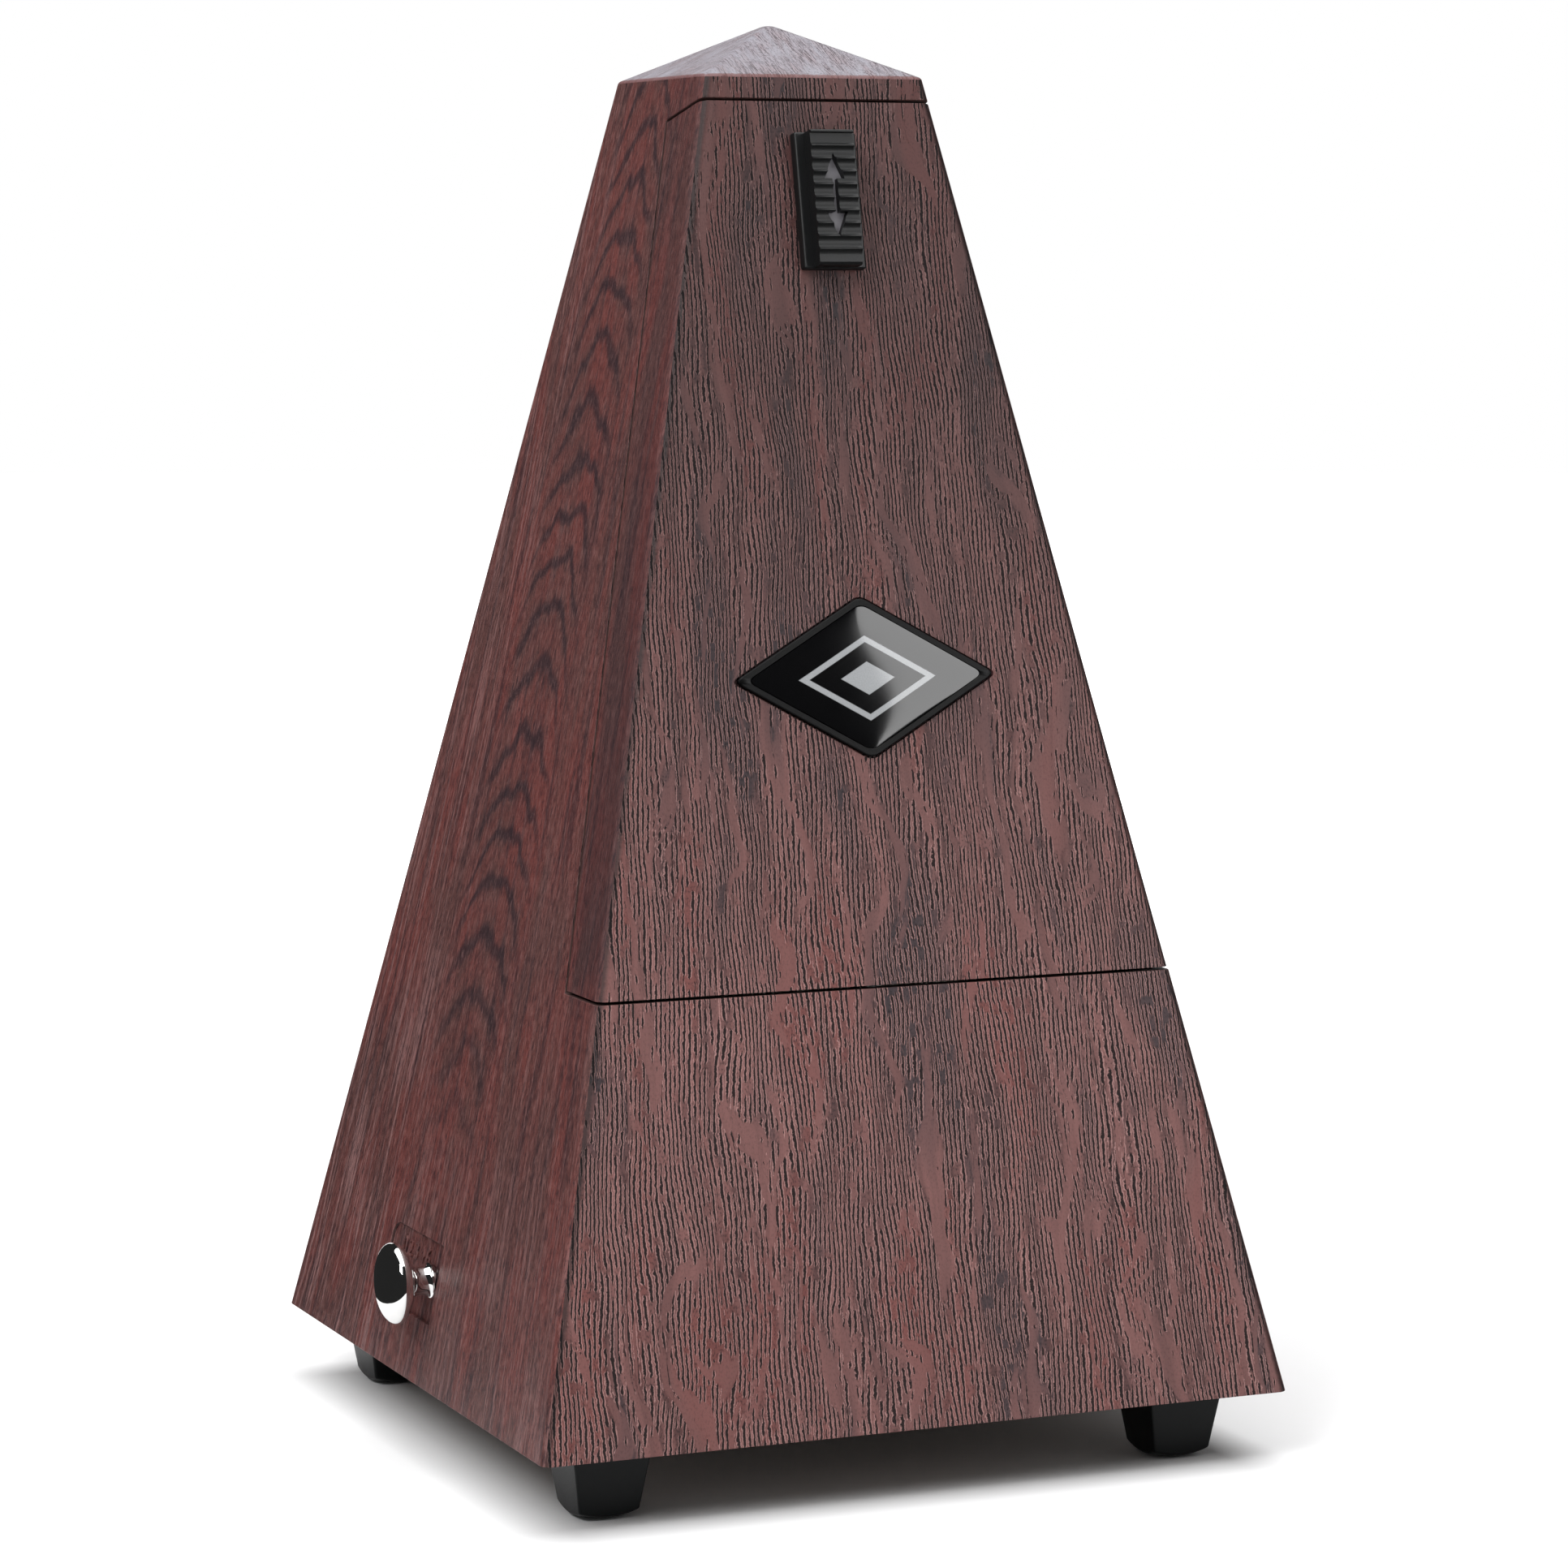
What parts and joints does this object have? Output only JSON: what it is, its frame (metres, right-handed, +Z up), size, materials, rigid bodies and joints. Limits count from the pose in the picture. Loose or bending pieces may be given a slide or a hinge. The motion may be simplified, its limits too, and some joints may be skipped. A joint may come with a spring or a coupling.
{
  "type": "metronome",
  "caption": "Spring-driven pyramid metronome with a tilting wood-grain front cover, inverted pendulum, beat bell and side selector knob.",
  "frame": {"origin": "on the floor under the middle of the case", "axes": "+Z up, -Y to the front cover, +X to the winding key"},
  "size_m": [0.131, 0.121, 0.2185],
  "materials": {
    "wood_grain": "moulded wood grain, satin",
    "black_plastic": "satin black",
    "resin": "clear gloss over black",
    "chrome": "polished plating",
    "steel": "bright steel",
    "brass": "pressed brass",
    "scale_metal": "gold lacquer with dark marks",
    "board": "dark moulded base",
    "rubber": "matt black"
  },
  "bodies": {
    "case": {"arbor_bridge": "brass", "arbor_post": "brass", "base_plate": "board", "base_screw_front_left": "steel", "base_screw_front_right": "steel", "base_screw_rear_left": "steel", "base_screw_rear_right": "steel", "bell": "brass", "bell_bracket": "brass", "bell_nut": "steel", "bell_post": "steel", "case_shell": "wood_grain", "escape_bridge": "brass", "foot_front_left": "rubber", "foot_front_right": "rubber", "foot_rear_left": "rubber", "foot_rear_right": "rubber", "mainspring": "steel", "movement_plate_left": "brass", "movement_plate_right": "brass", "pendulum_catch": "black_plastic", "pillar_front_lower": "steel", "pillar_front_upper": "steel", "pillar_rear_lower": "steel", "pillar_rear_upper": "steel", "pillar_screw_front_lower": "steel", "pillar_screw_front_upper": "steel", "pillar_screw_rear_lower": "steel", "pillar_screw_rear_upper": "steel", "scale_plate": "scale_metal", "scale_screw_lower_left": "steel", "scale_screw_lower_right": "steel", "scale_screw_upper_left": "steel", "scale_screw_upper_right": "steel"},
    "cover": {"front_cover": "wood_grain", "badge_frame": "black_plastic", "badge_dome": "resin"},
    "latch": {"latch_slider": "black_plastic", "latch_bolt": "steel"},
    "pendulum": {"pendulum_rod": "steel", "pendulum_bob": "brass", "pendulum_arbor": "steel"},
    "weight": {"sliding_weight": "brass", "weight_spring": "steel"},
    "great_wheel": {"great_wheel": "brass", "click_spring": "steel"},
    "click": {"click": "steel"},
    "winding": {"winding_arbor": "steel", "ratchet_wheel": "steel", "winding_key": "chrome"},
    "middle_wheel": {"middle_arbor": "steel", "middle_wheel": "brass"},
    "escape_wheel": {"escape_arbor": "steel", "crown_wheel": "brass"},
    "cam": {"cam_wheel": "brass", "cam_drum": "steel"},
    "selector": {"selector_rod": "steel", "selector_knob": "chrome"},
    "hammer": {"hammer": "steel"}
  },
  "joints": [
    {"name": "cover_tilt", "type": "hinge", "parent": "case", "child": "cover", "pos_m": [0, -0.04436, 0.07269], "axis": [1, 0, 0], "range_deg": [0, 18]},
    {"name": "latch_slide", "type": "slide", "parent": "cover", "child": "latch", "axis": [0, 0.2079, 0.9781], "range_m": [0, 0.0035]},
    {"name": "pendulum_swing", "type": "hinge", "parent": "case", "child": "pendulum", "pos_m": [0, -0.04235, 0.0605], "axis": [0, -0.9781, 0.2079], "range_deg": [-7.5, 7.5]},
    {"name": "weight_slide", "type": "slide", "parent": "pendulum", "child": "weight", "axis": [0, 0.2079, 0.9781], "range_m": [-0.05, 0.044]},
    {"name": "great_wheel_turn", "type": "hinge", "parent": "case", "child": "great_wheel", "pos_m": [0, 0.014, 0.0372], "axis": [1, 0, 0], "continuous": true},
    {"name": "winding_turn", "type": "hinge", "parent": "great_wheel", "child": "winding", "pos_m": [0, 0.014, 0.0372], "axis": [1, 0, 0], "continuous": true},
    {"name": "click_lift", "type": "hinge", "parent": "great_wheel", "child": "click", "pos_m": [0, 0.00587, 0.0476], "axis": [1, 0, 0], "range_deg": [0, 14], "stiffness_Nm_per_rad": 0.002, "springref_deg": -5.73},
    {"name": "middle_wheel_turn", "type": "hinge", "parent": "case", "child": "middle_wheel", "pos_m": [0, 0.0073, 0.06274], "axis": [1, 0, 0], "continuous": true},
    {"name": "escape_wheel_turn", "type": "hinge", "parent": "case", "child": "escape_wheel", "pos_m": [0, -0.01056, 0.05375], "axis": [1, 0, 0], "continuous": true},
    {"name": "cam_turn", "type": "hinge", "parent": "case", "child": "cam", "pos_m": [0, -0.01442, 0.04029], "axis": [1, 0, 0], "continuous": true},
    {"name": "selector_pull", "type": "slide", "parent": "case", "child": "selector", "axis": [-1, 0, 0], "range_m": [0, 0.0128]},
    {"name": "hammer_swing", "type": "hinge", "parent": "selector", "child": "hammer", "pos_m": [0, -0.0017, 0.0268], "axis": [1, 0, 0], "range_deg": [0, 12], "stiffness_Nm_per_rad": 0.001, "springref_deg": -11.46}
  ],
  "couplings": [
    {"joint": "middle_wheel_turn", "follows": "great_wheel_turn", "ratio": -4.5},
    {"joint": "escape_wheel_turn", "follows": "great_wheel_turn", "ratio": 18},
    {"joint": "cam_turn", "follows": "great_wheel_turn", "ratio": -7.2}
  ]
}
